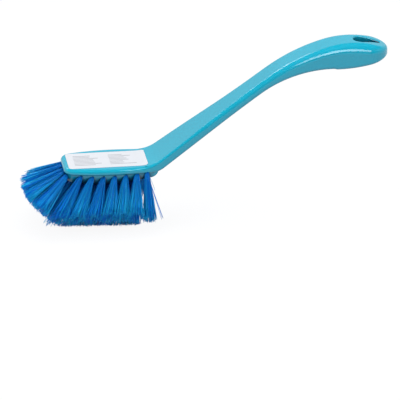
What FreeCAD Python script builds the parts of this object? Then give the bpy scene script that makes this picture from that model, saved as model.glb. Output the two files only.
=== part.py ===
import FreeCAD, Part
import math
import os
import Sketcher
from FreeCAD import Placement, Rotation, Vector

# A dish brush: one moulding for head and handle, stapled bristle tufts and a stuck-on label.
#
# Head frame in millimetres: X runs from the toe of the head (-X) to the tip of the handle (+X), Y across,
# Z up. Zero is the middle of the label on the head's flat top. The finished pieces are moved together so
# that the origin lies on the floor, under the middle of the whole brush.

SIZES = {
    # head, seen from above
    "toe_reach": 32.5,
    "head_width": 41.0,
    "toe_corner_radius": 8.0,
    "barrel_radius": 130.0,
    "barrel_x": 3.0,
    # handle, seen from above
    "waist_x": 110.0,
    "waist_width": 23.9,
    "waist_radius": 302.0,
    "grip_end_radius": 14.5,
    # head and handle, seen from the side
    "bend_start": 22.6,
    "bend_radius": 27.0,
    "handle_angle": 36.0,
    "straight_length": 97.0,
    "handle_thickness": 7.0,
    "grip_length": 89.5,
    "crest_back": 27.5,
    "belly_back": 38.4,
    "stop_radius": 5.0,
    "stop_drop": 0.5,
    "crown_long_radius": 134.0,
    "crown_short_radius": 68.0,
    "underside_radius": 89.5,
    "belly_radius": 106.0,
    "heel_radius": 15.0,
    "rim_height": 3.9,
    "rim_taper": 1.0,
    # rounded edges of the moulding; the tip's are shares of its height
    "head_top_round": 2.6,
    "heel_top_round": 2.0,
    "handle_top_round": 1.5,
    "neck_top_round": 3.9,
    "grip_top_round": 6.3,
    "tip_top_share": 0.56,
    "rim_under_round": 1.0,
    "heel_under_round": 2.0,
    "handle_under_round": 2.4,
    "tip_under_share": 0.36,
    # bristle block under the head
    "block_top": 3.0,
    "block_inset": 0.6,
    "block_draft": 12.0,
    "block_depth": 11.2,
    "block_low_x": -3.0,
    "block_radius": 225.0,
    "block_heel_x": 36.0,
    "block_heel_round": 6.0,
    # hanging hole, measured back from the tip
    "hang_back": 15.6,
    "hang_length": 19.6,
    "hang_width": 11.4,
    "hang_tip_width": 4.0,
    "hang_round": 0.8,
    # label
    "label_length": 58.0,
    "label_width": 28.4,
    "label_thickness": 0.12,
    "label_corner": 2.6,
    # tufts
    "heel_row_x": 27.6,
    "first_row_x": 20.0,
    "last_row_inset": 11.0,
    "inner_column": 4.6,
    "outer_rise": 3.6,
    "inner_lean": 11.0,
    "outer_lean": 23.7,
    "heel_back_lean": 1.0,
    "heel_lean": 18.0,
    "first_row_lean": 5.8,
    "last_row_lean": 32.0,
    "front_ring_level": 6.2,
    "front_ring_dip": 29.0,
    "front_ring_droop": 1.2,
    "front_ring_pitch": 6.0,
    "second_ring_inset": 9.5,
    "second_ring_dip": 52.0,
    "second_ring_pitch": 6.2,
    "ring_step": 20.0,
    "hole_radius": 1.75,
    "hole_depth": 5.8,
    "tuft_clearance": 0.05,
    "tuft_collar": 3.0,
    "tuft_fill": 1.12,
    "pleat_ratio": 0.68,
    # how the bristle ends are trimmed: a trough along the head, and square across round the toe
    "trim_depth": 43.0,
    "trim_half_width": 39.5,
    "trim_axis_drop": 4.5,
    "trim_tilt": 2.0,
    "second_ring_length": 36.0,
    "front_ring_length": 33.2,
    # staple wires that hold the tufts
    "anchor_bite": 0.7,
    "anchor_height": 1.8,
    "anchor_thickness": 0.4,
    "fold_thickness": 0.9,
}
SIDE_ROWS = 6
SECOND_RING_TUFTS = 3
FRONT_RING_TUFTS = 5
LEAN_GROWTH = 1.5
PLEATS = 12
HALVINGS = 50
TOUCHING = 0.01
UP = Vector(0, 0, 1)

doc = FreeCAD.newDocument("dish_brush")
sheet = doc.addObject("Spreadsheet::Sheet", "sizes")
for row, (alias, number) in enumerate(SIZES.items(), start=1):
    sheet.set(f"A{row}", alias)
    sheet.set(f"B{row}", str(number))
    sheet.setAlias(f"B{row}", alias)
doc.recompute()
size = {alias: float(sheet.get(alias)) for alias in SIZES}


# Sketch helpers. A stretch of an outline is (geometry index, its first vertex, its last vertex).

def add_line(sketch, start, end):
    return sketch.addGeometry(Part.LineSegment(start, end), False), 1, 2


def add_arc(sketch, centre, start, end, turns_left):
    first, last = (start, end) if turns_left else (end, start)
    begin = math.atan2(first.y - centre.y, first.x - centre.x)
    finish = math.atan2(last.y - centre.y, last.x - centre.x)
    if finish < begin:
        finish += 2 * math.pi
    circle = Part.Circle(centre, UP, (start - centre).Length)
    index = sketch.addGeometry(Part.ArcOfCircle(circle, begin, finish), False)
    return (index, 1, 2) if turns_left else (index, 2, 1)


def join(sketch, kind, stretch, following):
    sketch.addConstraint(Sketcher.Constraint(kind, stretch[0], stretch[2], following[0], following[1]))


def rule(sketch, kind, *places):
    sketch.addConstraint(Sketcher.Constraint(kind, *places))


def bind(sketch, name, expression, kind, *places):
    value = sketch.evalExpression(expression)
    if kind == "Angle":
        value = math.radians(FreeCAD.Units.Quantity(value).Value)
    index = sketch.addConstraint(Sketcher.Constraint(kind, *places, float(value)))
    sketch.renameConstraint(index, name)
    sketch.setExpression("Constraints." + name, expression)


def body_with_sketch(name, role):
    body = doc.addObject("PartDesign::Body", name)
    sketch = body.newObject("Sketcher::SketchObject", name + "_sketch")
    planes = [feature for feature in body.Origin.OriginFeatures if feature.Role == role]
    sketch.AttachmentSupport = (planes[0], [""])
    sketch.MapMode = "FlatFace"
    return body, sketch


def pad(body, sketch, expression, symmetric=False):
    feature = body.newObject("PartDesign::Pad", body.Name + "_pad")
    feature.Profile = sketch
    feature.setExpression("Length", expression)
    if symmetric:
        feature.SideType = "Symmetric"
    return feature


# Side view of head and handle, in sketch coordinates: x is X and y is Z.
slope = math.radians(size["handle_angle"])
along = Vector(math.cos(slope), math.sin(slope), 0)
across = Vector(math.sin(slope), -math.cos(slope), 0)
toe_top = Vector(-size["toe_reach"], 0, 0)
bend_in = Vector(size["bend_start"], 0, 0)
bend_centre = bend_in + Vector(0, size["bend_radius"], 0)
bend_out = bend_centre + across * size["bend_radius"]
rise_end = bend_out + along * size["straight_length"]
tip_x = rise_end.x + size["grip_length"]
crest_x = tip_x - size["crest_back"]
belly_x = tip_x - size["belly_back"]
stop_x = belly_x - math.sqrt((4 * size["stop_radius"] - size["stop_drop"]) * size["stop_drop"])

long_centre = rise_end + across * size["crown_long_radius"]
crown_step = size["crown_long_radius"] - size["crown_short_radius"]
crest_rise = math.sqrt(crown_step ** 2 - (crest_x - long_centre.x) ** 2)
short_centre = Vector(crest_x, long_centre.y + crest_rise, 0)
crown_joint = long_centre + (short_centre - long_centre).normalize() * size["crown_long_radius"]
tip_drop = math.sqrt(size["crown_short_radius"] ** 2 - size["crest_back"] ** 2)
tip_top = Vector(tip_x, short_centre.y + tip_drop, 0)

under_start = bend_out + across * size["handle_thickness"]
foot_run = (stop_x - size["underside_radius"] * across.x - under_start.x) / along.x
under_end = under_start + along * foot_run
under_centre = under_end + across * size["underside_radius"]
stop_joint = under_centre + Vector(0, size["underside_radius"], 0)
belly_joint = Vector(belly_x, stop_joint.y - size["stop_drop"], 0)
stop_in_centre = stop_joint - Vector(0, size["stop_radius"], 0)
stop_out_centre = belly_joint + Vector(0, size["stop_radius"], 0)
stop_middle = (stop_joint + belly_joint) * 0.5
belly_centre = belly_joint + Vector(0, size["belly_radius"], 0)
tip_rise = math.sqrt(size["belly_radius"] ** 2 - size["belly_back"] ** 2)
tip_under = Vector(tip_x, belly_centre.y - tip_rise, 0)

taper = math.radians(size["rim_taper"])
toe_under = Vector(-size["toe_reach"], -size["rim_height"], 0)
rim_way = Vector(math.cos(taper), -math.sin(taper), 0)
cross = rim_way.x * along.y - rim_way.y * along.x
gap = under_start - toe_under
heel_corner = toe_under + rim_way * ((gap.x * along.y - gap.y * along.x) / cross)
heel_length = size["heel_radius"] * math.tan((slope + taper) / 2)
heel_in = heel_corner - rim_way * heel_length
heel_out = heel_corner + along * heel_length
heel_centre = heel_in + Vector(-rim_way.y, rim_way.x, 0) * size["heel_radius"]

side_body, side = body_with_sketch("side_blank", "XZ_Plane")
flat = add_line(side, toe_top, bend_in)
bend = add_arc(side, bend_centre, bend_in, bend_out, True)
rise = add_line(side, bend_out, rise_end)
crown_long = add_arc(side, long_centre, rise_end, crown_joint, False)
crown_short = add_arc(side, short_centre, crown_joint, tip_top, False)
tip = add_line(side, tip_top, tip_under)
belly = add_arc(side, belly_centre, tip_under, belly_joint, False)
stop_out = add_arc(side, stop_out_centre, belly_joint, stop_middle, False)
stop_in = add_arc(side, stop_in_centre, stop_middle, stop_joint, True)
underside = add_arc(side, under_centre, stop_joint, under_end, True)
back = add_line(side, under_end, heel_out)
heel = add_arc(side, heel_centre, heel_out, heel_in, False)
rim = add_line(side, heel_in, toe_under)
toe = add_line(side, toe_under, toe_top)
for smooth in [(flat, bend), (bend, rise), (rise, crown_long), (crown_long, crown_short),
               (belly, stop_out), (stop_out, stop_in), (stop_in, underside), (underside, back),
               (back, heel), (heel, rim)]:
    join(side, "Tangent", *smooth)
for corner in [(crown_short, tip), (tip, belly), (rim, toe), (toe, flat)]:
    join(side, "Coincident", *corner)
rule(side, "PointOnObject", flat[0], 1, -1)
rule(side, "Horizontal", flat[0])
rule(side, "Vertical", toe[0])
rule(side, "Vertical", tip[0])
rule(side, "Parallel", rise[0], back[0])
rule(side, "Vertical", underside[0], 3, stop_in[0], 3)
rule(side, "Vertical", stop_out[0], 3, belly[0], 3)
rule(side, "Equal", stop_in[0], stop_out[0])
bind(side, "toe_reach", "-sizes.toe_reach", "DistanceX", -1, 1, flat[0], 1)
bind(side, "bend_start", "sizes.bend_start", "DistanceX", -1, 1, flat[0], 2)
bind(side, "bend_radius", "sizes.bend_radius", "Radius", bend[0])
bind(side, "handle_angle", "sizes.handle_angle * 1 deg", "Angle", rise[0])
bind(side, "straight_length", "sizes.straight_length", "Distance", rise[0])
bind(side, "grip_length", "sizes.grip_length", "DistanceX", rise[0], 2, tip[0], 1)
bind(side, "crown_long", "sizes.crown_long_radius", "Radius", crown_long[0])
bind(side, "crown_short", "sizes.crown_short_radius", "Radius", crown_short[0])
bind(side, "crest_back", "sizes.crest_back", "DistanceX", crown_short[0], 3, tip[0], 1)
bind(side, "thickness", "sizes.handle_thickness", "Distance", rise[0], 1, back[0])
bind(side, "underside", "sizes.underside_radius", "Radius", underside[0])
bind(side, "belly", "sizes.belly_radius", "Radius", belly[0])
bind(side, "belly_back", "sizes.belly_back", "DistanceX", belly[0], 3, tip[0], 1)
bind(side, "stop", "sizes.stop_radius", "Radius", stop_in[0])
bind(side, "stop_drop", "sizes.stop_drop", "DistanceY", belly[0], belly[2], underside[0], underside[1])
bind(side, "heel", "sizes.heel_radius", "Radius", heel[0])
bind(side, "rim_height", "sizes.rim_height", "DistanceY", toe[0], 1, toe[0], 2)
bind(side, "rim_taper", "(180 - sizes.rim_taper) * 1 deg", "Angle", rim[0])
pad(side_body, side, "2 * sizes.head_width", symmetric=True)


# Outline seen from above; inset is a size that draws it in all round.
TIP_X = ("(sizes.bend_start + sizes.bend_radius * sin(sizes.handle_angle * 1 deg)"
         " + sizes.straight_length * cos(sizes.handle_angle * 1 deg) + sizes.grip_length)")


def outline_points(inset):
    toe_x = -size["toe_reach"] + inset
    corner_radius = size["toe_corner_radius"] - inset
    barrel_radius = size["barrel_radius"] - inset
    waist_radius = size["waist_radius"] + inset
    end_radius = size["grip_end_radius"] - inset
    barrel = Vector(size["barrel_x"], size["head_width"] / 2 - size["barrel_radius"], 0)
    waist = Vector(size["waist_x"], size["waist_width"] / 2 + size["waist_radius"], 0)
    end = Vector(tip_x - size["grip_end_radius"], 0, 0)
    corner_x = toe_x + corner_radius
    corner_rise = math.sqrt((barrel_radius - corner_radius) ** 2 - (corner_x - barrel.x) ** 2)
    corner = Vector(corner_x, barrel.y + corner_rise, 0)

    def tangent_normal(low, low_radius, turn):
        way = waist - low
        lean = math.acos((low_radius + waist_radius) / way.Length)
        angle = math.atan2(way.y, way.x) + turn * lean
        return Vector(math.cos(angle), math.sin(angle), 0)

    taper_normal = tangent_normal(barrel, barrel_radius, 1)
    flare_normal = tangent_normal(end, end_radius, -1)
    return {
        "corner": corner,
        "barrel": barrel,
        "waist": waist,
        "end": end,
        "toe": Vector(toe_x, corner.y, 0),
        "shoulder": barrel + (corner - barrel).normalize() * barrel_radius,
        "taper_in": barrel + taper_normal * barrel_radius,
        "taper_out": waist - taper_normal * waist_radius,
        "flare_in": waist - flare_normal * waist_radius,
        "flare_out": end + flare_normal * end_radius,
        "tip": Vector(tip_x - inset, 0, 0),
    }


def draw_outline(sketch, inset, draw_in):
    points = outline_points(inset)
    flipped = {name: Vector(point.x, -point.y, 0) for name, point in points.items()}

    def half(spots, left):
        return [
            add_arc(sketch, spots["corner"], spots["toe"], spots["shoulder"], left),
            add_arc(sketch, spots["barrel"], spots["shoulder"], spots["taper_in"], left),
            add_line(sketch, spots["taper_in"], spots["taper_out"]),
            add_arc(sketch, spots["waist"], spots["taper_out"], spots["flare_in"], not left),
            add_line(sketch, spots["flare_in"], spots["flare_out"]),
            add_arc(sketch, spots["end"], spots["flare_out"], spots["tip"], left),
        ]

    edge = add_line(sketch, flipped["toe"], points["toe"])
    near = half(points, False)
    far = half(flipped, True)
    corner, barrel, taper_line, waist, flare, end = near
    join(sketch, "Tangent", edge, corner)
    for stretch, following in zip(near, near[1:]):
        join(sketch, "Tangent", stretch, following)
    for stretch, following in zip(far, far[1:]):
        join(sketch, "Coincident", stretch, following)
    rule(sketch, "Coincident", edge[0], 1, far[0][0], far[0][1])
    rule(sketch, "Coincident", end[0], end[2], far[5][0], far[5][2])
    rule(sketch, "Symmetric", edge[0], 1, edge[0], 2, -1)
    for mine, other in zip(near[:5], far[:5]):
        rule(sketch, "Symmetric", mine[0], mine[2], other[0], other[2], -1)
    for number in (0, 1, 3, 5):
        rule(sketch, "Equal", near[number][0], far[number][0])
    rule(sketch, "PointOnObject", end[0], 3, -1)
    rule(sketch, "PointOnObject", end[0], end[2], -1)
    bind(sketch, "toe", f"-sizes.toe_reach + {draw_in}", "DistanceX", -1, 1, edge[0], 1)
    bind(sketch, "corner", f"sizes.toe_corner_radius - {draw_in}", "Radius", corner[0])
    bind(sketch, "barrel", f"sizes.barrel_radius - {draw_in}", "Radius", barrel[0])
    bind(sketch, "barrel_x", "sizes.barrel_x", "DistanceX", -1, 1, barrel[0], 3)
    bind(sketch, "barrel_y", "sizes.head_width / 2 - sizes.barrel_radius", "DistanceY", -1, 1, barrel[0], 3)
    bind(sketch, "waist", f"sizes.waist_radius + {draw_in}", "Radius", waist[0])
    bind(sketch, "waist_x", "sizes.waist_x", "DistanceX", -1, 1, waist[0], 3)
    bind(sketch, "waist_y", "sizes.waist_width / 2 + sizes.waist_radius", "DistanceY", -1, 1, waist[0], 3)
    bind(sketch, "end", f"sizes.grip_end_radius - {draw_in}", "Radius", end[0])
    bind(sketch, "tip", f"{TIP_X} - {draw_in}", "DistanceX", -1, 1, end[0], end[2])
    return points


plan_body, plan = body_with_sketch("plan_blank", "XY_Plane")
outline = draw_outline(plan, 0, "0")
pad(plan_body, plan, f"2 * {TIP_X}", symmetric=True)
doc.recompute()
blank = doc.addObject("Part::Common", "blank")
blank.Base = side_body
blank.Tool = plan_body
doc.recompute()


# The moulding's edges are rounded all round, with a radius that follows the handle.

def top_level(x):
    if x <= bend_in.x:
        return 0.0
    if x <= bend_out.x:
        return bend_centre.y - math.sqrt(size["bend_radius"] ** 2 - (x - bend_centre.x) ** 2)
    if x <= rise_end.x:
        return bend_out.y + (x - bend_out.x) * math.tan(slope)
    if x <= crown_joint.x:
        return long_centre.y + math.sqrt(size["crown_long_radius"] ** 2 - (x - long_centre.x) ** 2)
    return short_centre.y + math.sqrt(size["crown_short_radius"] ** 2 - (x - short_centre.x) ** 2)


def under_level(x):
    if x <= heel_in.x:
        return toe_under.y - (x - toe_under.x) * math.tan(taper)
    if x <= heel_out.x:
        return heel_centre.y - math.sqrt(size["heel_radius"] ** 2 - (x - heel_centre.x) ** 2)
    if x <= under_end.x:
        return under_start.y + (x - under_start.x) * math.tan(slope)
    if x <= stop_joint.x:
        return under_centre.y + math.sqrt(size["underside_radius"] ** 2 - (x - under_centre.x) ** 2)
    if x <= stop_middle.x:
        return stop_in_centre.y + math.sqrt(size["stop_radius"] ** 2 - (x - stop_in_centre.x) ** 2)
    if x <= belly_joint.x:
        return stop_out_centre.y - math.sqrt(size["stop_radius"] ** 2 - (x - stop_out_centre.x) ** 2)
    return belly_centre.y - math.sqrt(size["belly_radius"] ** 2 - (x - belly_centre.x) ** 2)


def ramp(x, stations):
    for (low, start), (high, end) in zip(stations, stations[1:]):
        if x <= high:
            share = max(0.0, (x - low) / (high - low))
            return start + (end - start) * share
    return stations[-1][1]


tip_height = tip_top.y - tip_under.y
top_rounds = [
    (toe_top.x, size["head_top_round"]),
    (bend_in.x, size["heel_top_round"]),
    (bend_out.x, size["handle_top_round"]),
    (rise_end.x, size["neck_top_round"]),
    (crest_x, size["grip_top_round"]),
    (outline["flare_out"].x, size["grip_top_round"]),
    (tip_x, size["tip_top_share"] * tip_height),
]
under_rounds = [
    (toe_top.x, size["rim_under_round"]),
    (heel_in.x, size["heel_under_round"]),
    (heel_out.x, size["handle_under_round"]),
    (outline["flare_out"].x, size["handle_under_round"]),
    (tip_x, size["tip_under_share"] * tip_height),
]


def round_edges(name, base, level, stations):
    # The edges form one loop round the moulding, and each radius runs on from the one before it, so every
    # edge is taken in the direction in which the loop's first edge runs.
    centre = Vector((toe_top.x + tip_x) / 2, 0, 0)
    loop = []
    for number, edge in enumerate(base.Shape.Edges, start=1):
        begin = edge.valueAt(edge.FirstParameter)
        middle = edge.valueAt((edge.FirstParameter + edge.LastParameter) / 2)
        finish = edge.valueAt(edge.LastParameter)
        crosses_handle = abs(middle.y) < TOUCHING and middle.x > toe_top.x + TOUCHING
        if abs(middle.z - level(middle.x)) < TOUCHING and not crosses_handle:
            turns_left = (middle - centre).cross(finish - begin).z > 0
            loop.append((number, turns_left, ramp(begin.x, stations), ramp(finish.x, stations)))
    way = loop[0][1]
    feature = doc.addObject("Part::Fillet", name)
    feature.Base = base
    feature.Edges = [(number, start, end) if turns_left == way else (number, end, start)
                     for number, turns_left, start, end in loop]
    doc.recompute()
    return feature


top_rounded = round_edges("top_rounded", blank, top_level, top_rounds)
rounded = round_edges("rounded", top_rounded, under_level, under_rounds)


# Bristle block: the head's outline drawn in, tapering downwards to a gently curved underside.
block_plan_body, block_plan = body_with_sketch("block_plan", "XY_Plane")
block_plan.setExpression("AttachmentOffset.Base.z", "-sizes.block_top")
draw_outline(block_plan, size["block_inset"], "sizes.block_inset")
block_pad = pad(block_plan_body, block_plan, "sizes.block_depth")
block_pad.Reversed = True
block_pad.setExpression("TaperAngle", "-sizes.block_draft * 1 deg")

block_centre = Vector(size["block_low_x"], size["block_radius"] - size["block_depth"], 0)


def block_level(x):
    return block_centre.y - math.sqrt(size["block_radius"] ** 2 - (x - block_centre.x) ** 2)


block_toe = Vector(toe_top.x, block_level(toe_top.x), 0)
turn_x = size["block_heel_x"] - size["block_heel_round"]
turn_reach = size["block_radius"] - size["block_heel_round"]
turn_drop = math.sqrt(turn_reach ** 2 - (turn_x - block_centre.x) ** 2)
turn_centre = Vector(turn_x, block_centre.y - turn_drop, 0)
sole_end = block_centre + (turn_centre - block_centre).normalize() * size["block_radius"]
rear_start = turn_centre + Vector(size["block_heel_round"], 0, 0)
block_top_heel = Vector(rear_start.x, 0, 0)
block_side_body, block_side = body_with_sketch("block_side", "XZ_Plane")
front = add_line(block_side, toe_top, block_toe)
sole = add_arc(block_side, block_centre, block_toe, sole_end, True)
sole_turn = add_arc(block_side, turn_centre, sole_end, rear_start, True)
rear = add_line(block_side, rear_start, block_top_heel)
lid = add_line(block_side, block_top_heel, toe_top)
for smooth in [(sole, sole_turn), (sole_turn, rear)]:
    join(block_side, "Tangent", *smooth)
for corner in [(front, sole), (rear, lid), (lid, front)]:
    join(block_side, "Coincident", *corner)
rule(block_side, "Vertical", front[0])
rule(block_side, "Vertical", rear[0])
rule(block_side, "PointOnObject", lid[0], 1, -1)
rule(block_side, "Horizontal", lid[0])
bind(block_side, "toe", "-sizes.toe_reach", "DistanceX", -1, 1, front[0], 1)
bind(block_side, "heel", "sizes.block_heel_x", "DistanceX", -1, 1, rear[0], 1)
bind(block_side, "sole", "sizes.block_radius", "Radius", sole[0])
bind(block_side, "heel_round", "sizes.block_heel_round", "Radius", sole_turn[0])
bind(block_side, "low_x", "sizes.block_low_x", "DistanceX", -1, 1, sole[0], 3)
bind(block_side, "low", "sizes.block_radius - sizes.block_depth", "DistanceY", -1, 1, sole[0], 3)
pad(block_side_body, block_side, "2 * sizes.head_width", symmetric=True)
doc.recompute()
block = doc.addObject("Part::Common", "block")
block.Base = block_plan_body
block.Tool = block_side_body
moulding = doc.addObject("Part::Fuse", "moulding")
moulding.Base = rounded
moulding.Tool = block
doc.recompute()


# Hanging hole, a drop that narrows towards the tip, cut straight down through the grip, with a softened rim.
hang_x = tip_x - size["hang_back"]
root_end = size["hang_width"] / 2
tip_end = size["hang_tip_width"] / 2
hang_body, hang = body_with_sketch("hang_cutter", "XY_Plane")
hang_tip = Vector(hang_x + size["hang_length"] / 2 - tip_end, 0, 0)
hang_root = Vector(hang_x - size["hang_length"] / 2 + root_end, 0, 0)
narrowing = math.asin((root_end - tip_end) / (hang_tip.x - hang_root.x))
left_way = Vector(math.sin(narrowing), math.cos(narrowing), 0)
right_way = Vector(math.sin(narrowing), -math.cos(narrowing), 0)
round_tip = add_arc(hang, hang_tip, hang_tip + right_way * tip_end, hang_tip + left_way * tip_end, True)
left_wall = add_line(hang, hang_tip + left_way * tip_end, hang_root + left_way * root_end)
round_root = add_arc(hang, hang_root, hang_root + left_way * root_end, hang_root + right_way * root_end, True)
right_wall = add_line(hang, hang_root + right_way * root_end, hang_tip + right_way * tip_end)
hang_sides = [round_tip, left_wall, round_root, right_wall]
for stretch, following in zip(hang_sides, hang_sides[1:] + hang_sides[:1]):
    join(hang, "Tangent", stretch, following)
rule(hang, "PointOnObject", round_tip[0], 3, -1)
rule(hang, "PointOnObject", round_root[0], 3, -1)
bind(hang, "tip_end", "sizes.hang_tip_width / 2", "Radius", round_tip[0])
bind(hang, "root_end", "sizes.hang_width / 2", "Radius", round_root[0])
bind(hang, "reach", f"{TIP_X} - sizes.hang_back + (sizes.hang_length - sizes.hang_tip_width) / 2",
     "DistanceX", -1, 1, round_tip[0], 3)
bind(hang, "span", "sizes.hang_length - (sizes.hang_width + sizes.hang_tip_width) / 2",
     "DistanceX", round_root[0], 3, round_tip[0], 3)
pad(hang_body, hang, f"2 * {TIP_X}", symmetric=True)
pierced = doc.addObject("Part::Cut", "pierced")
pierced.Base = moulding
pierced.Tool = hang_body
doc.recompute()

eased = doc.addObject("Part::Fillet", "eased")
eased.Base = pierced
rim_edges = []
for number, edge in enumerate(pierced.Shape.Edges, start=1):
    middle = edge.valueAt((edge.FirstParameter + edge.LastParameter) / 2)
    inside = abs(middle.x - hang_x) < size["hang_length"] / 2 + TOUCHING and abs(middle.y) < root_end + TOUCHING
    on_face = min(abs(middle.z - top_level(middle.x)), abs(middle.z - under_level(middle.x))) < TOUCHING
    if inside and on_face:
        rim_edges.append((number, size["hang_round"], size["hang_round"]))
eased.Edges = rim_edges
doc.recompute()


# Where the tufts sit: each is (name, middle of its mouth on the block, direction it points in, length if it
# is cut square across).

def tilted(forward, sideways):
    way = Vector(-math.tan(math.radians(forward)), math.tan(math.radians(sideways)), -1)
    return way.normalize()


def fanned(turn, dip):
    level = math.cos(math.radians(dip))
    angle = math.radians(turn)
    return Vector(-math.cos(angle) * level, math.sin(angle) * level, -math.sin(math.radians(dip)))


def draw_in_at(depth):
    return size["block_inset"] + (depth - size["block_top"]) * math.tan(math.radians(size["block_draft"]))


def flank_half_width(x, depth):
    points = outline_points(draw_in_at(depth))
    if x <= points["taper_in"].x:
        radius = size["barrel_radius"] - draw_in_at(depth)
        return points["barrel"].y + math.sqrt(radius ** 2 - (x - points["barrel"].x) ** 2)
    line = points["taper_out"] - points["taper_in"]
    return points["taper_in"].y + (x - points["taper_in"].x) * line.y / line.x


def toe_contour(y, depth):
    points = outline_points(draw_in_at(depth))
    past = max(0.0, abs(y) - points["corner"].y)
    radius = size["toe_corner_radius"] - draw_in_at(depth)
    return points["corner"].x - math.sqrt(max(0.0, radius ** 2 - past ** 2))


row_pitch = (size["first_row_x"] + size["toe_reach"] - size["last_row_inset"]) / (SIDE_ROWS - 1)
lean_range = size["last_row_lean"] - size["first_row_lean"]
tufts = []
for side_name, hand in (("left", 1), ("right", -1)):
    x = size["heel_row_x"]
    depth = -block_level(x) - size["outer_rise"]
    mouth = Vector(x, hand * flank_half_width(x, depth), -depth)
    way = tilted(-size["heel_back_lean"], hand * size["heel_lean"])
    tufts.append((f"tuft_heel_{side_name}", mouth, way, None))
    for row in range(SIDE_ROWS):
        x = size["first_row_x"] - row * row_pitch
        forward = size["first_row_lean"] + lean_range * (row / (SIDE_ROWS - 1)) ** LEAN_GROWTH
        depth = -block_level(x) - size["outer_rise"]
        mouth = Vector(x, hand * flank_half_width(x, depth), -depth)
        way = tilted(forward, hand * size["outer_lean"])
        tufts.append((f"tuft_outer_{side_name}_{row + 1}", mouth, way, None))
        if row < SIDE_ROWS - 1:
            mouth = Vector(x, hand * size["inner_column"], block_level(x))
            way = tilted(forward, hand * size["inner_lean"])
            tufts.append((f"tuft_inner_{side_name}_{row + 1}", mouth, way, None))
for number in range(SECOND_RING_TUFTS):
    place = number - (SECOND_RING_TUFTS - 1) / 2
    x = size["second_ring_inset"] - size["toe_reach"]
    mouth = Vector(x, place * size["second_ring_pitch"], block_level(x))
    way = fanned(place * size["ring_step"], size["second_ring_dip"])
    tufts.append((f"tuft_second_{number + 1}", mouth, way, size["second_ring_length"]))
for number in range(FRONT_RING_TUFTS):
    place = number - (FRONT_RING_TUFTS - 1) / 2
    y = place * size["front_ring_pitch"]
    mouth = Vector(toe_contour(y, size["front_ring_level"]), y, -size["front_ring_level"])
    dip = size["front_ring_dip"] + place ** 2 * size["front_ring_droop"]
    way = fanned(place * size["ring_step"], dip)
    tufts.append((f"tuft_toe_{number + 1}", mouth, way, size["front_ring_length"]))


# Bristle ends: the side rows are trimmed to a trough of elliptical section that dips towards the heel.

def trough(point):
    run = point.x + size["toe_reach"]
    drop = point.z + size["trim_axis_drop"] + math.tan(math.radians(size["trim_tilt"])) * run
    return point.y / size["trim_half_width"], drop / size["trim_depth"]


def trimmed_end(mouth, way):
    near, far = 0.0, 2 * size["trim_depth"]
    for halving in range(HALVINGS):
        middle = (near + far) / 2
        across_share, down_share = trough(mouth + way * middle)
        if math.hypot(across_share, down_share) > 1:
            far = middle
        else:
            near = middle
    end = mouth + way * near
    across_share, down_share = trough(end)
    return end, Vector(0, across_share / size["trim_half_width"], down_share / size["trim_depth"]).normalize()


def frame_of(way):
    aside = way * way.y - Vector(0, 1, 0)
    aside.normalize()
    return aside.cross(way), aside


end_radius = size["tuft_fill"] * row_pitch / 2
root_radius = size["hole_radius"] - size["tuft_clearance"]


def ring(centre, lengthwise, aside, radii):
    corners = []
    for number, radius in enumerate(radii):
        angle = 2 * math.pi * number / len(radii)
        spoke = lengthwise * math.cos(angle) + aside * math.sin(angle)
        corners.append(centre + spoke * radius)
    return corners


def tuft_corners(mouth, way, length):
    lengthwise, aside = frame_of(way)
    end, normal = (mouth + way * length, way) if length else trimmed_end(mouth, way)
    even = [root_radius] * (2 * PLEATS)
    flared = [end_radius, end_radius * size["pleat_ratio"]] * PLEATS
    root = ring(mouth - way * size["hole_depth"], lengthwise, aside, even)
    collar = ring(mouth + way * size["tuft_collar"], lengthwise, aside, even)
    spread = ring(end, lengthwise, aside, flared)
    tips = []
    for low, high in zip(collar, spread):
        ray = high - low
        tips.append(low + ray * ((end - low).dot(normal) / ray.dot(normal)))
    return root, collar, tips


def flat_face(corners):
    return Part.Face(Part.makePolygon(corners + corners[:1]))


def pleated_bundle(root, collar, tips):
    faces = [flat_face(root), flat_face(tips)]
    for number in range(len(root)):
        after = (number + 1) % len(root)
        faces.append(flat_face([root[number], root[after], collar[after], collar[number]]))
        faces.append(flat_face([collar[number], collar[after], tips[after]]))
        faces.append(flat_face([collar[number], tips[after], tips[number]]))
    return Part.makeSolid(Part.makeShell(faces))


def fold_window(mouth, way):
    lengthwise, aside = frame_of(way)
    slack = size["tuft_clearance"]
    width = 4 * size["hole_radius"]
    depth = size["anchor_thickness"] + 2 * slack
    height = size["anchor_height"] + 2 * slack
    corner = mouth - way * (size["hole_depth"] - size["fold_thickness"] + slack)
    corner = corner - lengthwise * (width / 2) - aside * (depth / 2)
    box = Part.makeBox(width, depth, height)
    box.Placement = Placement(corner, Rotation(lengthwise, aside, way, "ZXY"))
    return box


all_corners = {name: tuft_corners(mouth, way, length) for name, mouth, way, length in tufts}
tip_corners = [corner for corners in all_corners.values() for corner in corners[2]]
front_x = min(corner.x for corner in tip_corners)
floor_z = min(corner.z for corner in tip_corners)
shift = Placement(Vector(-(front_x + tip_x) / 2, 0, -floor_z), Rotation())

sub_parts = []
for name, mouth, way, length in tufts:
    bundle = pleated_bundle(*all_corners[name])
    tuft = doc.addObject("Part::Feature", name)
    tuft.Shape = bundle.cut(fold_window(mouth, way))
    tuft.Placement = shift
    sub_parts.append(tuft)

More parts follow.
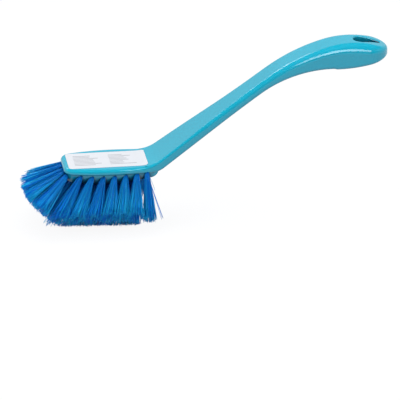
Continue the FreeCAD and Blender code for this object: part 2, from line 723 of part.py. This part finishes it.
# Tuft holes, and the flat staple wires, which press their own slots into the walls of the holes.
borers = []
anchors = []
for name, mouth, way, length in tufts:
    lengthwise, aside = frame_of(way)
    turn = Rotation(lengthwise, aside, way, "ZXY")
    borer = doc.addObject("Part::Cylinder", name.replace("tuft", "bore"))
    borer.setExpression("Radius", "sizes.hole_radius")
    borer.setExpression("Height", "sizes.hole_depth + 2 * sizes.tuft_collar")
    borer.Placement = Placement(mouth - way * size["hole_depth"], turn)
    borers.append(borer)
    anchor = doc.addObject("Part::Box", name.replace("tuft", "anchor"))
    anchor.setExpression("Length", "2 * (sizes.hole_radius + sizes.anchor_bite)")
    anchor.setExpression("Width", "sizes.anchor_thickness")
    anchor.setExpression("Height", "sizes.anchor_height")
    corner = mouth - way * (size["hole_depth"] - size["fold_thickness"])
    corner = corner - lengthwise * (size["hole_radius"] + size["anchor_bite"])
    corner = corner - aside * (size["anchor_thickness"] / 2)
    anchor.Placement = Placement(corner, turn)
    anchors.append(anchor)
bores = doc.addObject("Part::Compound", "bores")
bores.Links = borers
anchor_slots = doc.addObject("Part::Compound", "anchor_slots")
anchor_slots.Links = anchors
tuft_anchors = doc.addObject("Part::Compound", "tuft_anchors")
tuft_anchors.Links = anchors
bored = doc.addObject("Part::Cut", "bored")
bored.Base = eased
bored.Tool = bores
handle_body = doc.addObject("Part::Cut", "handle_body")
handle_body.Base = bored
handle_body.Tool = anchor_slots
doc.recompute()

# Label: a thin strip along the flat top that runs a little way up the bend, cut out with rounded corners.
strip_body, strip = body_with_sketch("label_strip", "XZ_Plane")
strip_reach = size["label_length"] / 2 + size["label_corner"]
wrap = (strip_reach - size["bend_start"]) / size["bend_radius"]
inner = size["bend_radius"] - size["label_thickness"]
lift = Vector(0, size["label_thickness"], 0)
reach = Vector(math.sin(wrap), -math.cos(wrap), 0)
strip_toe = Vector(-strip_reach, 0, 0)
under_flat = add_line(strip, strip_toe, bend_in)
under_wrap = add_arc(strip, bend_centre, bend_in, bend_centre + reach * size["bend_radius"], True)
heel_edge = add_line(strip, bend_centre + reach * size["bend_radius"], bend_centre + reach * inner)
over_wrap = add_arc(strip, bend_centre, bend_centre + reach * inner, bend_in + lift, False)
over_flat = add_line(strip, bend_in + lift, strip_toe + lift)
toe_edge = add_line(strip, strip_toe + lift, strip_toe)
join(strip, "Tangent", under_flat, under_wrap)
join(strip, "Tangent", over_wrap, over_flat)
for corner in [(under_wrap, heel_edge), (heel_edge, over_wrap), (over_flat, toe_edge), (toe_edge, under_flat)]:
    join(strip, "Coincident", *corner)
rule(strip, "PointOnObject", under_flat[0], 1, -1)
rule(strip, "Horizontal", under_flat[0])
rule(strip, "Horizontal", over_flat[0])
rule(strip, "Vertical", toe_edge[0])
rule(strip, "Coincident", under_wrap[0], 3, over_wrap[0], 3)
rule(strip, "PointOnObject", under_wrap[0], 3, heel_edge[0])
bind(strip, "toe", "-sizes.label_length / 2 - sizes.label_corner", "DistanceX", -1, 1, under_flat[0], 1)
bind(strip, "bend", "sizes.bend_start", "DistanceX", -1, 1, under_flat[0], 2)
bind(strip, "wrap", "sizes.bend_radius", "Radius", under_wrap[0])
bind(strip, "thickness", "sizes.label_thickness", "Distance", toe_edge[0])
bind(strip, "reach", "sizes.bend_radius * sin((sizes.label_length / 2 + sizes.label_corner - sizes.bend_start)"
     " / sizes.bend_radius * 1 rad)", "DistanceX", under_flat[0], 2, heel_edge[0], 1)
pad(strip_body, strip, "2 * sizes.label_width", symmetric=True)

shape_body, shape = body_with_sketch("label_shape", "XY_Plane")
label_wrap = (size["label_length"] / 2 - size["bend_start"]) / size["bend_radius"]
label_toe = -size["label_length"] / 2
label_heel = size["bend_start"] + size["bend_radius"] * math.sin(label_wrap)
near_toe = Vector(label_toe, -size["label_width"] / 2, 0)
near_heel = Vector(label_heel, -size["label_width"] / 2, 0)
far_heel = Vector(label_heel, size["label_width"] / 2, 0)
far_toe = Vector(label_toe, size["label_width"] / 2, 0)
back_x = Vector(size["label_corner"], 0, 0)
back_y = Vector(0, size["label_corner"], 0)
near_side = add_line(shape, near_toe + back_x, near_heel - back_x)
near_heel_round = add_arc(shape, near_heel - back_x + back_y, near_heel - back_x, near_heel + back_y, True)
heel_side = add_line(shape, near_heel + back_y, far_heel - back_y)
far_heel_round = add_arc(shape, far_heel - back_x - back_y, far_heel - back_y, far_heel - back_x, True)
far_side = add_line(shape, far_heel - back_x, far_toe + back_x)
far_toe_round = add_arc(shape, far_toe + back_x - back_y, far_toe + back_x, far_toe - back_y, True)
toe_side = add_line(shape, far_toe - back_y, near_toe + back_y)
near_toe_round = add_arc(shape, near_toe + back_x + back_y, near_toe + back_y, near_toe + back_x, True)
label_rounds = [near_heel_round, far_heel_round, far_toe_round, near_toe_round]
label_sides = [near_side, near_heel_round, heel_side, far_heel_round,
               far_side, far_toe_round, toe_side, near_toe_round]
for stretch, following in zip(label_sides, label_sides[1:] + label_sides[:1]):
    join(shape, "Tangent", stretch, following)
for level_side in (near_side, far_side):
    rule(shape, "Horizontal", level_side[0])
for cross_side in (heel_side, toe_side):
    rule(shape, "Vertical", cross_side[0])
for corner in label_rounds[1:]:
    rule(shape, "Equal", label_rounds[0][0], corner[0])
bind(shape, "corner", "sizes.label_corner", "Radius", label_rounds[0][0])
bind(shape, "toe", "-sizes.label_length / 2", "DistanceX", -1, 1, toe_side[0], 1)
bind(shape, "heel", "sizes.bend_start + sizes.bend_radius * sin((sizes.label_length / 2 - sizes.bend_start)"
     " / sizes.bend_radius * 1 rad)", "DistanceX", -1, 1, heel_side[0], 1)
bind(shape, "near", "-sizes.label_width / 2", "DistanceY", -1, 1, near_side[0], 1)
bind(shape, "far", "sizes.label_width / 2", "DistanceY", -1, 1, far_side[0], 1)
pad(shape_body, shape, "2 * sizes.label_length", symmetric=True)
doc.recompute()
label = doc.addObject("Part::Common", "label")
label.Base = strip_body
label.Tool = shape_body
doc.recompute()

for piece in (handle_body, label, tuft_anchors):
    piece.Placement = shift
    sub_parts.append(piece)
doc.recompute()
os.makedirs("parts", exist_ok=True)
for piece in doc.Objects:
    if "Invalid" in piece.State or "Error" in piece.State:
        raise RuntimeError(f"{piece.Name} failed: {piece.getStatusString()}")
for piece in sub_parts:
    if piece.Shape.isNull() or not piece.Shape.isValid():
        raise RuntimeError(f"{piece.Label} has no valid shape")
for piece in sub_parts:
    piece.Shape.exportStep(f"parts/{piece.Label}.step")
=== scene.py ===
import math
import random

import bpy
import numpy as np
from mathutils import Matrix, Vector


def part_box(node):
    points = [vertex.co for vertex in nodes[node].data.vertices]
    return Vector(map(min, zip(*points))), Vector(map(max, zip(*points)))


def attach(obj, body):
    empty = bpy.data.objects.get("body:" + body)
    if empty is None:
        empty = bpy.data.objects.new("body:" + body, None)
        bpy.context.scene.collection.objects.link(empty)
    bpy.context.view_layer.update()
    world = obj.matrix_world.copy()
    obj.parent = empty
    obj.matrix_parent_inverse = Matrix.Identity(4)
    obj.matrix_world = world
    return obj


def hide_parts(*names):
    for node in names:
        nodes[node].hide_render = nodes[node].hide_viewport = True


# A dish brush: the moulding, the label and the staple wires keep their CAD solids, and every tuft is
# dressed as loose bristles.
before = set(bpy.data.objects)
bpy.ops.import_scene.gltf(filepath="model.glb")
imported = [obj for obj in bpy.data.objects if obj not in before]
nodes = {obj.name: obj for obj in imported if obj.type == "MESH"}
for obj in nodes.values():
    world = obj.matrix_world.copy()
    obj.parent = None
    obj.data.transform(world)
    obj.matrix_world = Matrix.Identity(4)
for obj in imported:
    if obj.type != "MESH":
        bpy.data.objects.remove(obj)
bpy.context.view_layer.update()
MM = 0.001

# Camera: pixels to a millimetre and where the label's middle lies, both taken from the photograph, and
# the picture's right and up as directions in the part's frame.
IMAGE_SIDE = 400
PIXELS_PER_MM = 1.37
LABEL_MIDDLE_PIXEL = (106.5, 159.7)
PICTURE_RIGHT = Vector((0.9886, -0.1504, 0.0086)).normalized()
PICTURE_UP = Vector((0.0523, 0.3958, 0.917)).normalized()
CAMERA_DISTANCE = 2.6
SENSOR_WIDTH = 36.0
FARTHEST_SEEN = 50
LABEL_LENGTH = 58 * MM

# Colours: a pair is the two ends between which the colour varies.
TURQUOISE = ((0.004, 0.40, 0.555, 1), (0.008, 0.43, 0.588, 1))
# Painted shade: the turquoise that recesses in the moulding darken to.
SHADED_TURQUOISE = (0.0005, 0.035, 0.075, 1)
PAPER = ((0.70, 0.715, 0.75, 1), (0.745, 0.76, 0.79, 1))
BAR_GREY = (0.36, 0.37, 0.40, 1)
BLUE = ((0.001, 0.21, 0.88, 1), (0.02, 0.60, 1.0, 1))
# Painted shade: the blue that bristles darken to towards their roots, under the head.
SHADED_ROOT_BLUE = (0.001, 0.13, 0.54, 1)
# Painted shade: the blue that crowded bristles and the gaps between tufts darken to.
SHADED_BLUE = (0.0005, 0.03, 0.12, 1)
STEEL = ((0.50, 0.50, 0.51, 1), (0.62, 0.62, 0.63, 1))
FLOOR_GREY = (0.31, 0.32, 0.345, 1)
WHITE = (1, 1, 1, 1)
COOL_TINT = (0.95, 0.98, 1.05)

# Painted shade: recesses are darker; how far away a surface still closes one in, and the openness from
# shaded to clear.
RECESS_REACH = 11 * MM
RECESS_OPENNESS = (0.55, 0.95)
TUFT_REACH = 8 * MM
TUFT_OPENNESS = (0.0, 0.13)

# Depth of the fine relief in the plastic and the paper.
PLASTIC_RELIEF = 0.05 * MM
PAPER_RELIEF = 0.03 * MM

# Plain grey bars on the label: row pitch, share of the pitch that is grey, and the width that the rows
# fill. A column is its start from the toe end and its shortest and longest bar.
BAR_PITCH = 2.4 * MM
BAR_SHARE = 0.36
BAR_FIELD = 19.2 * MM
FIRST_BARS = (5 * MM, 12 * MM, 21 * MM)
SECOND_BARS = (31 * MM, 8 * MM, 20 * MM)

# Finding a tuft's form on its solid: the root is the slice at the bottom of the hole, the collar is the
# stretch just outside the hole, and the tips lie further out than this many times the hole's radius.
ROOT_SLICE = 0.5 * MM
COLLAR_BEYOND_ROOT = (7.5 * MM, 10 * MM)
TIPS_BEYOND_HOLE = 1.3

# Bristles: they start this far behind the collar, inside the hole, and fill a share of its radius.
BRISTLES_PER_TUFT = 220
BRISTLE_RADIUS = 0.14 * MM
BRISTLE_SIDES = 5
BRISTLE_RINGS = 6
SUNK_LENGTH = 5 * MM
PACKED_SHARE = 0.9
TRIM_SCATTER = 0.35 * MM
BOW_SCATTER = 0.45 * MM

# Tips: they spread to a multiple of the solid's own flare, crowd towards the rim and gather in clumps.
# A clump also sets a share of its bristles' tone.
FLARE_GAIN = {"tuft_toe": 1.3, "tuft_second": 1.6, "tuft_heel": 1.0}
USUAL_FLARE_GAIN = 1.4
RIM_WEIGHT = 0.35
TIP_SCATTER = 0.13
CLUMPS = 9
CLUMP_PULL = 0.12
CLUMP_TONE_SHARE = 0.35
TONE_CONTRAST = 2.8

# Stray bristles of the heel tufts: how many, and how far they reach towards the grip and sideways, as
# multiples of the tuft's flare.
STRAYS = {"tuft_heel_right": 5, "tuft_heel_left": 3}
STRAY_REACH = (1.5, 2.4)
STRAY_SWAY = 0.5

# One seeded generator draws everything that varies from bristle to bristle.
SEED = 41

# A direction this close to Y gets its side axes from X instead.
NEARLY_ALONG_Y = 0.9

# Stage: the floor's size, its glow and how much of its look is that glow, the ambient light, and how the
# mirrored white back wall fades to a dim ceiling and to the dim room in front.
FLOOR_REACH = 6.0
FLOOR_GLOW = 1.27
FLOOR_GLOW_SHARE = 0.72
AMBIENT = 0.36
WALL_GLOW = 0.68
DIM_GLOW = 0.05
CEILING_FADE = (0.42, 0.72)
FRONT_FADE = (-0.3, -0.75)


# Node helpers

def new_material(name):
    material = bpy.data.materials.new(name)
    material.use_nodes = True
    tree = material.node_tree
    return material, tree, tree.nodes["Principled BSDF"]


def add_node(tree, kind, **settings):
    node = tree.nodes.new(kind)
    for name, value in settings.items():
        if name in node.inputs:
            node.inputs[name].default_value = value
        else:
            setattr(node, name, value)
    return node


def object_noise(tree, scale, detail):
    where = add_node(tree, "ShaderNodeTexCoord")
    noise = add_node(tree, "ShaderNodeTexNoise", Scale=scale, Detail=detail, Roughness=0.5)
    tree.links.new(where.outputs["Object"], noise.inputs["Vector"])
    return noise.outputs["Fac"]


def spread(tree, value, low, high, source=(0.0, 1.0), curve="LINEAR"):
    node = add_node(tree, "ShaderNodeMapRange", interpolation_type=curve)
    for name, number in zip(("From Min", "From Max", "To Min", "To Max"), (*source, low, high)):
        node.inputs[name].default_value = number
    tree.links.new(value, node.inputs["Value"])
    return node.outputs["Result"]


def blend_colours(tree, factor, first, second):
    node = add_node(tree, "ShaderNodeMix", data_type="RGBA")
    for socket in node.inputs:
        value = {"A": first, "B": second}.get(socket.name)
        if socket.type == "RGBA" and isinstance(value, bpy.types.NodeSocket):
            tree.links.new(value, socket)
        elif socket.type == "RGBA":
            socket.default_value = value
    tree.links.new(factor, node.inputs["Factor"])
    return [socket for socket in node.outputs if socket.type == "RGBA"][0]


def calculate(tree, operation, first, second, third=None):
    node = add_node(tree, "ShaderNodeMath", operation=operation)
    for socket, value in zip(node.inputs, (first, second, third)):
        if isinstance(value, bpy.types.NodeSocket):
            tree.links.new(value, socket)
        elif value is not None:
            socket.default_value = value
    return node.outputs["Value"]


# Painted shade: the colour darkens towards the shaded one where nearby surfaces close a spot in.
def shade_recesses(tree, clear, shaded, reach, openness, samples):
    around = add_node(tree, "ShaderNodeAmbientOcclusion", samples=samples, Distance=reach)
    clearness = spread(tree, around.outputs["AO"], 0, 1, source=openness)
    return blend_colours(tree, clearness, shaded, clear)


def add_relief(tree, shader, height, strength, depth):
    bump = add_node(tree, "ShaderNodeBump", Strength=strength, Distance=depth)
    tree.links.new(height, bump.inputs["Height"])
    tree.links.new(bump.outputs["Normal"], shader.inputs["Normal"])


# Materials

def moulded_plastic():
    material, tree, shader = new_material("turquoise_plastic")
    clouds = object_noise(tree, scale=22, detail=3)
    clear = blend_colours(tree, clouds, *TURQUOISE)
    # Painted shade in recesses, such as the hanging hole and the flank between the tufts.
    colour = shade_recesses(tree, clear, SHADED_TURQUOISE, RECESS_REACH, RECESS_OPENNESS, samples=16)
    tree.links.new(colour, shader.inputs["Base Color"])
    smears = object_noise(tree, scale=60, detail=4)
    tree.links.new(spread(tree, smears, low=0.1, high=0.17), shader.inputs["Roughness"])
    grain = object_noise(tree, scale=1400, detail=2)
    add_relief(tree, shader, grain, strength=0.06, depth=PLASTIC_RELIEF)
    shader.inputs["IOR"].default_value = 1.56
    return material


def bar_column(tree, along, row, start, shortest, longest):
    chance = add_node(tree, "ShaderNodeTexWhiteNoise", noise_dimensions="1D")
    tree.links.new(calculate(tree, "ADD", row, start), chance.inputs["W"])
    length = spread(tree, chance.outputs["Value"], shortest, longest)
    after = calculate(tree, "GREATER_THAN", along, start)
    before = calculate(tree, "LESS_THAN", along, calculate(tree, "ADD", length, start))
    return calculate(tree, "MULTIPLY", after, before)


def label_bars(tree):
    label_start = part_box("label")[0].x
    where = add_node(tree, "ShaderNodeTexCoord")
    place = add_node(tree, "ShaderNodeSeparateXYZ")
    tree.links.new(where.outputs["Object"], place.inputs["Vector"])
    along = calculate(tree, "SUBTRACT", place.outputs["X"], label_start)
    across = calculate(tree, "DIVIDE", place.outputs["Y"], BAR_PITCH)
    row = calculate(tree, "FLOOR", across, 0)
    in_row = calculate(tree, "COMPARE", calculate(tree, "FRACT", across, 0), 0.5, BAR_SHARE / 2)
    from_middle = calculate(tree, "ABSOLUTE", place.outputs["Y"], 0)
    inside = calculate(tree, "LESS_THAN", from_middle, BAR_FIELD / 2)
    first = bar_column(tree, along, row, *FIRST_BARS)
    second = bar_column(tree, along, row, *SECOND_BARS)
    columns = calculate(tree, "MAXIMUM", first, second)
    return calculate(tree, "MULTIPLY", calculate(tree, "MULTIPLY", in_row, inside), columns)


def label_paper():
    material, tree, shader = new_material("label_paper")
    fibres = object_noise(tree, scale=900, detail=4)
    paper = blend_colours(tree, fibres, *PAPER)
    colour = blend_colours(tree, label_bars(tree), paper, BAR_GREY)
    tree.links.new(colour, shader.inputs["Base Color"])
    tree.links.new(spread(tree, fibres, low=0.45, high=0.6), shader.inputs["Roughness"])
    add_relief(tree, shader, fibres, strength=0.1, depth=PAPER_RELIEF)
    return material


# The strand attribute holds a bristle's tone in red, its roughness in green and the way along it in blue.

def bristle_plastic():
    material, tree, shader = new_material("blue_bristle")
    strand = add_node(tree, "ShaderNodeAttribute", attribute_name="strand")
    parts = add_node(tree, "ShaderNodeSeparateColor")
    tree.links.new(strand.outputs["Color"], parts.inputs["Color"])
    strand_colour = blend_colours(tree, parts.outputs["Red"], *BLUE)
    # Painted shade: each bristle darkens from its tip towards its root.
    near_tip = spread(tree, parts.outputs["Blue"], low=0.1, high=1.0)
    clear = blend_colours(tree, near_tip, SHADED_ROOT_BLUE, strand_colour)
    # Painted shade between the tufts and in the inner rows, where bristles crowd.
    colour = shade_recesses(tree, clear, SHADED_BLUE, TUFT_REACH, TUFT_OPENNESS, samples=8)
    tree.links.new(colour, shader.inputs["Base Color"])
    tree.links.new(spread(tree, parts.outputs["Green"], low=0.28, high=0.42), shader.inputs["Roughness"])
    shader.inputs["Specular IOR Level"].default_value = 0.1
    return material


def staple_wire():
    material, tree, shader = new_material("staple_wire")
    scratches = object_noise(tree, scale=500, detail=4)
    tree.links.new(blend_colours(tree, scratches, *STEEL), shader.inputs["Base Color"])
    tree.links.new(spread(tree, scratches, low=0.25, high=0.45), shader.inputs["Roughness"])
    shader.inputs["Metallic"].default_value = 1.0
    return material


def dress(name, material):
    mesh = nodes[name].data
    mesh.materials.clear()
    mesh.materials.append(material)


# Bristles: the tuft's own solid says where its hole is, which way it points and where it is trimmed.

def tuft_form(name):
    mesh = nodes[name].data
    points = np.array([vertex.co for vertex in mesh.vertices])
    top = points[points[:, 2].argmax()]
    way = points.mean(axis=0) - top
    way = way / np.linalg.norm(way)
    along = points @ way
    root = points[along < along.min() + ROOT_SLICE].mean(axis=0)
    along = (points - root) @ way
    collar = points[(along > COLLAR_BEYOND_ROOT[0]) & (along < COLLAR_BEYOND_ROOT[1])]
    hole_radius = np.linalg.norm(collar - collar.mean(axis=0), axis=1).max()
    collar = collar.mean(axis=0)
    way = (collar - root) / np.linalg.norm(collar - root)
    along = (points - collar) @ way
    aside = np.linalg.norm((points - collar) - np.outer(along, way), axis=1)
    tips = points[aside > hole_radius * TIPS_BEYOND_HOLE]
    middle = tips.mean(axis=0)
    normal = np.linalg.svd(tips - middle)[2][2]
    normal = normal * np.sign(normal @ way)
    end = collar + way * (((middle - collar) @ normal) / (way @ normal))
    reach = (tips - collar) @ way
    sideways = np.linalg.norm((tips - collar) - np.outer(reach, way), axis=1)
    flare = (sideways * ((end - collar) @ way) / reach).max()
    gain = FLARE_GAIN.get(name.rsplit("_", 1)[0], USUAL_FLARE_GAIN)
    return collar, way, end, normal, hole_radius, flare * gain


def side_axes(way):
    other = (0.0, 1.0, 0.0) if abs(way[1]) < NEARLY_ALONG_Y else (1.0, 0.0, 0.0)
    first = np.cross(way, other)
    first = first / np.linalg.norm(first)
    return first, np.cross(way, first)


def disc_point(draw):
    radius = math.sqrt(draw.random())
    angle = 2 * math.pi * draw.random()
    return np.array((radius * math.cos(angle), radius * math.sin(angle)))


def bristle_path(form, spot, tip_spot, trim, bow):
    collar, way, end, normal, hole_radius, spread_radius = form
    first, second = side_axes(way)

    def place(offset, scale):
        return first * (offset[0] * scale) + second * (offset[1] * scale)

    start = collar - way * SUNK_LENGTH + place(spot, hole_radius * PACKED_SHARE)
    finish = end + place(tip_spot, spread_radius)
    ray = finish - start
    finish = start + ray * (((end - start) @ normal) / (ray @ normal))
    finish = finish + (finish - start) / np.linalg.norm(finish - start) * trim
    # Tips stop short of the floor.
    if finish[2] < BRISTLE_RADIUS:
        finish = start + (finish - start) * (start[2] - BRISTLE_RADIUS) / (start[2] - finish[2])
    side = place(bow, 1.0)
    path = []
    for ring in range(BRISTLE_RINGS):
        share = ring / (BRISTLE_RINGS - 1)
        path.append(start + (finish - start) * share + side * math.sin(math.pi * share) * share)
    return path


def add_tube(vertices, faces, tones, path, tone, roughness):
    base = len(vertices)
    for ring, point in enumerate(path):
        after = path[min(ring + 1, len(path) - 1)]
        before = path[max(ring - 1, 0)]
        way = (after - before) / np.linalg.norm(after - before)
        first, second = side_axes(way)
        for side in range(BRISTLE_SIDES):
            angle = 2 * math.pi * side / BRISTLE_SIDES
            spoke = first * math.cos(angle) + second * math.sin(angle)
            vertices.append(point + spoke * BRISTLE_RADIUS)
            tones.append((tone, roughness, ring / (BRISTLE_RINGS - 1), 1.0))
    for ring in range(len(path) - 1):
        low = base + ring * BRISTLE_SIDES
        high = low + BRISTLE_SIDES
        for side in range(BRISTLE_SIDES):
            after = (side + 1) % BRISTLE_SIDES
            faces.append((low + side, low + after, high + after, high + side))
    last = base + (len(path) - 1) * BRISTLE_SIDES
    faces.append(tuple(base + side for side in reversed(range(BRISTLE_SIDES))))
    faces.append(tuple(last + side for side in range(BRISTLE_SIDES)))


def bristle_bundle(name, material, draw):
    form = tuft_form(name)
    clumps = [disc_point(draw) for number in range(CLUMPS)]
    clump_tones = [draw.random() for number in range(CLUMPS)]
    vertices, faces, tones = [], [], []
    for number in range(BRISTLES_PER_TUFT):
        spot = disc_point(draw)
        nearest = min(range(CLUMPS), key=lambda index: np.linalg.norm(clumps[index] - spot))
        tip_spot = spot + (clumps[nearest] - spot) * CLUMP_PULL
        tip_spot = tip_spot * np.linalg.norm(tip_spot) ** -RIM_WEIGHT
        tip_spot = tip_spot + np.array((draw.gauss(0, TIP_SCATTER), draw.gauss(0, TIP_SCATTER)))
        trim = draw.gauss(0, TRIM_SCATTER)
        bow = np.array((draw.gauss(0, BOW_SCATTER), draw.gauss(0, BOW_SCATTER)))
        tone = CLUMP_TONE_SHARE * clump_tones[nearest] + (1 - CLUMP_TONE_SHARE) * draw.random()
        tone = min(1.0, max(0.0, 0.5 + (tone - 0.5) * TONE_CONTRAST))
        path = bristle_path(form, spot, tip_spot, trim, bow)
        add_tube(vertices, faces, tones, path, tone, draw.random())
    for number in range(STRAYS.get(name, 0)):
        tip_spot = np.array((draw.uniform(*STRAY_REACH), draw.uniform(-STRAY_SWAY, STRAY_SWAY)))
        path = bristle_path(form, disc_point(draw), tip_spot, 0.0, np.zeros(2))
        add_tube(vertices, faces, tones, path, draw.random(), draw.random())
    mesh = bpy.data.meshes.new(name.replace("tuft", "bristles"))
    mesh.from_pydata([tuple(point) for point in vertices], [], faces)
    mesh.attributes.new("strand", "FLOAT_COLOR", "POINT")
    mesh.attributes["strand"].data.foreach_set("color", np.array(tones, np.float32).ravel())
    mesh.polygons.foreach_set("use_smooth", [len(face) == 4 for face in faces])
    mesh.materials.append(material)
    piece = bpy.data.objects.new(mesh.name, mesh)
    bpy.context.scene.collection.objects.link(piece)
    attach(piece, "root")
    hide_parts(name)


# Stage: a white floor that keeps a soft shadow, a soft sky, large soft lamps, and two strips that are
# only mirrored.

def seen_or_mirrored(tree):
    path = add_node(tree, "ShaderNodeLightPath")
    glossy = path.outputs["Is Glossy Ray"]
    mirrored = calculate(tree, "MAXIMUM", glossy, path.outputs["Is Transmission Ray"])
    return calculate(tree, "MAXIMUM", path.outputs["Is Camera Ray"], mirrored)


def floor():
    mesh = bpy.data.meshes.new("floor")
    low, high = -FLOOR_REACH, FLOOR_REACH
    corners = [(low, low, 0), (high, low, 0), (high, high, 0), (low, high, 0)]
    mesh.from_pydata(corners, [], [(0, 1, 2, 3)])
    piece = bpy.data.objects.new("floor", mesh)
    bpy.context.scene.collection.objects.link(piece)
    material, tree, shader = new_material("floor_white")
    shader.inputs["Base Color"].default_value = FLOOR_GREY
    shader.inputs["Roughness"].default_value = 0.9
    glow = add_node(tree, "ShaderNodeEmission", Strength=FLOOR_GLOW)
    mix = add_node(tree, "ShaderNodeMixShader")
    share = calculate(tree, "MULTIPLY", seen_or_mirrored(tree), FLOOR_GLOW_SHARE)
    tree.links.new(share, mix.inputs["Fac"])
    tree.links.new(shader.outputs["BSDF"], mix.inputs[1])
    tree.links.new(glow.outputs["Emission"], mix.inputs[2])
    tree.links.new(mix.outputs["Shader"], tree.nodes["Material Output"].inputs["Surface"])
    mesh.materials.append(material)


def sky():
    world = bpy.data.worlds.new("sky")
    world.use_nodes = True
    tree = world.node_tree
    ambient = tree.nodes["Background"]
    ambient.inputs["Color"].default_value = WHITE
    ambient.inputs["Strength"].default_value = AMBIENT
    walls = add_node(tree, "ShaderNodeBackground", Color=WHITE)
    where = add_node(tree, "ShaderNodeTexCoord")
    place = add_node(tree, "ShaderNodeSeparateXYZ")
    tree.links.new(where.outputs["Generated"], place.inputs["Vector"])
    low_part = spread(tree, place.outputs["Z"], 1.0, 0.0, source=CEILING_FADE, curve="SMOOTHSTEP")
    back_part = spread(tree, place.outputs["Y"], 1.0, 0.0, source=FRONT_FADE, curve="SMOOTHSTEP")
    lit = calculate(tree, "MULTIPLY", low_part, back_part)
    glow = calculate(tree, "MULTIPLY_ADD", lit, WALL_GLOW - DIM_GLOW, DIM_GLOW)
    path = add_node(tree, "ShaderNodeLightPath")
    seen = calculate(tree, "MAXIMUM", path.outputs["Is Camera Ray"], glow)
    tree.links.new(seen, walls.inputs["Strength"])
    mix = add_node(tree, "ShaderNodeMixShader")
    tree.links.new(seen_or_mirrored(tree), mix.inputs["Fac"])
    tree.links.new(ambient.outputs["Background"], mix.inputs[1])
    tree.links.new(walls.outputs["Background"], mix.inputs[2])
    tree.links.new(mix.outputs["Shader"], tree.nodes["World Output"].inputs["Surface"])
    bpy.context.scene.world = world


def soft_lamp(name, place, target, side, power, tint=WHITE[:3], shape="RECTANGLE", mirrored_only=False):
    lamp = bpy.data.lights.new(name, "AREA")
    lamp.shape = shape
    lamp.size, lamp.size_y = side
    lamp.energy = power
    lamp.color = tint
    piece = bpy.data.objects.new(name, lamp)
    piece.visible_glossy = mirrored_only
    piece.visible_diffuse = not mirrored_only
    piece.visible_camera = False
    piece.location = place
    piece.rotation_euler = (Vector(target) - Vector(place)).to_track_quat("-Z", "Y").to_euler()
    bpy.context.scene.collection.objects.link(piece)


# The grip strip draws the bright streak on the grip, and the back strip a thin light line.

def lamps():
    soft_lamp("overhead", place=(-0.1, 0.1, 1.3), target=(0, 0, 0.06), side=(1.4, 1.0), power=11.2)
    soft_lamp("left_fill", place=(-1.07, -0.75, 0.95), target=(0, 0, 0.08), side=(0.8, 0.8), power=7.8,
              tint=COOL_TINT)
    soft_lamp("right_fill", place=(1.07, -0.75, 0.95), target=(0, 0, 0.08), side=(0.8, 0.8), power=7.2,
              tint=COOL_TINT)
    soft_lamp("front_fill", place=(0, -1.4, 0.5), target=(0, 0, 0.06), side=(1.0, 0.5), power=0.8,
              tint=COOL_TINT)
    soft_lamp("grip_strip", place=(0.093, -0.225, 0.256), target=(0.13, 0, 0.12), side=(0.22, 0.125),
              power=0.46, shape="ELLIPSE", mirrored_only=True)
    soft_lamp("back_strip", place=(-0.45, 1.125, 0.94), target=(0.12, 0, 0.11), side=(0.6, 0.22),
              power=2.4, mirrored_only=True)


def camera():
    label_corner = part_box("label")[0]
    middle = Vector((label_corner.x + LABEL_LENGTH / 2, 0, label_corner.z))
    to_viewer = PICTURE_RIGHT.cross(PICTURE_UP).normalized()
    step = MM / PIXELS_PER_MM
    across = (IMAGE_SIDE / 2 - LABEL_MIDDLE_PIXEL[0]) * step
    down = (IMAGE_SIDE / 2 - LABEL_MIDDLE_PIXEL[1]) * step
    target = middle + PICTURE_RIGHT * across - PICTURE_UP * down
    lens = bpy.data.cameras.new("camera")
    lens.sensor_width = SENSOR_WIDTH
    lens.lens = SENSOR_WIDTH * CAMERA_DISTANCE / (IMAGE_SIDE * step)
    lens.clip_end = FARTHEST_SEEN
    piece = bpy.data.objects.new("camera", lens)
    turn = Matrix((PICTURE_RIGHT, PICTURE_UP, to_viewer)).transposed().to_4x4()
    piece.matrix_world = Matrix.Translation(target + to_viewer * CAMERA_DISTANCE) @ turn
    bpy.context.scene.collection.objects.link(piece)
    bpy.context.scene.camera = piece


dress("handle_body", moulded_plastic())
dress("label", label_paper())
dress("tuft_anchors", staple_wire())
blue = bristle_plastic()
draw = random.Random(SEED)
for name in sorted(nodes):
    if name.startswith("tuft_") and name != "tuft_anchors":
        bristle_bundle(name, blue, draw)
floor()
sky()
lamps()
camera()
bpy.context.scene.view_settings.view_transform = "Standard"
